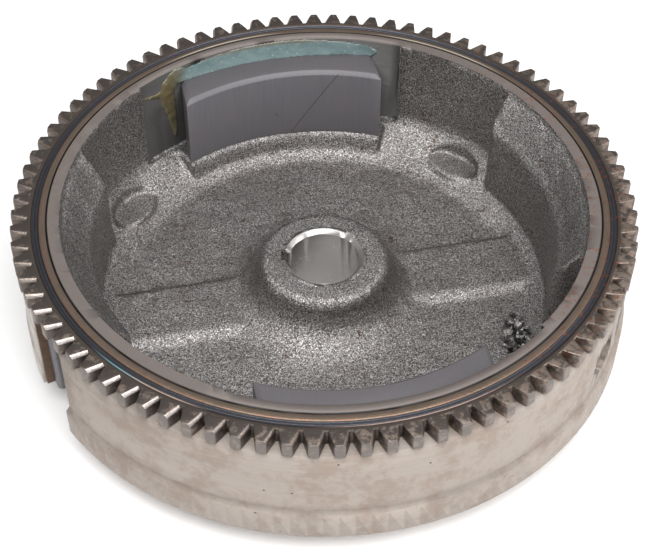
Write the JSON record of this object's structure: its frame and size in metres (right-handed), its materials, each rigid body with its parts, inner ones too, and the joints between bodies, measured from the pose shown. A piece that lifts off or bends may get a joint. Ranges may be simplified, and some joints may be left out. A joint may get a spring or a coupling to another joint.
{
  "type": "magneto flywheel",
  "caption": "Cast iron magneto flywheel with a shrunk-on starter ring gear, inner charging magnets and a keyed hub bore.",
  "frame": {"origin": "on the bore axis, in the plane of the lowest (fan side) face", "axes": "+Z along the bore, from the fan side towards the engine side with the ring gear; -X through the key slot"},
  "size_m": [0.2206, 0.2212, 0.0582],
  "materials": {
    "cast_iron": "sand cast, turned on the rim",
    "gear_steel": "heat tinted, oiled",
    "ferrite": "ground ferrite, satin",
    "resin": "cured bonding resin",
    "plate_steel": "turned, light stains",
    "brown_resin": "aged bonding resin"
  },
  "bodies": {
    "root": {"flywheel_casting": "cast_iron", "starter_ring_gear": "gear_steel", "charging_magnet_rear": "ferrite", "charging_magnet_front": "ferrite", "magnet_adhesive_rear": "resin", "magnet_adhesive_front": "resin", "ignition_magnet": "ferrite", "ignition_pole_plate": "plate_steel", "ignition_adhesive": "brown_resin"}
  },
  "joints": []
}
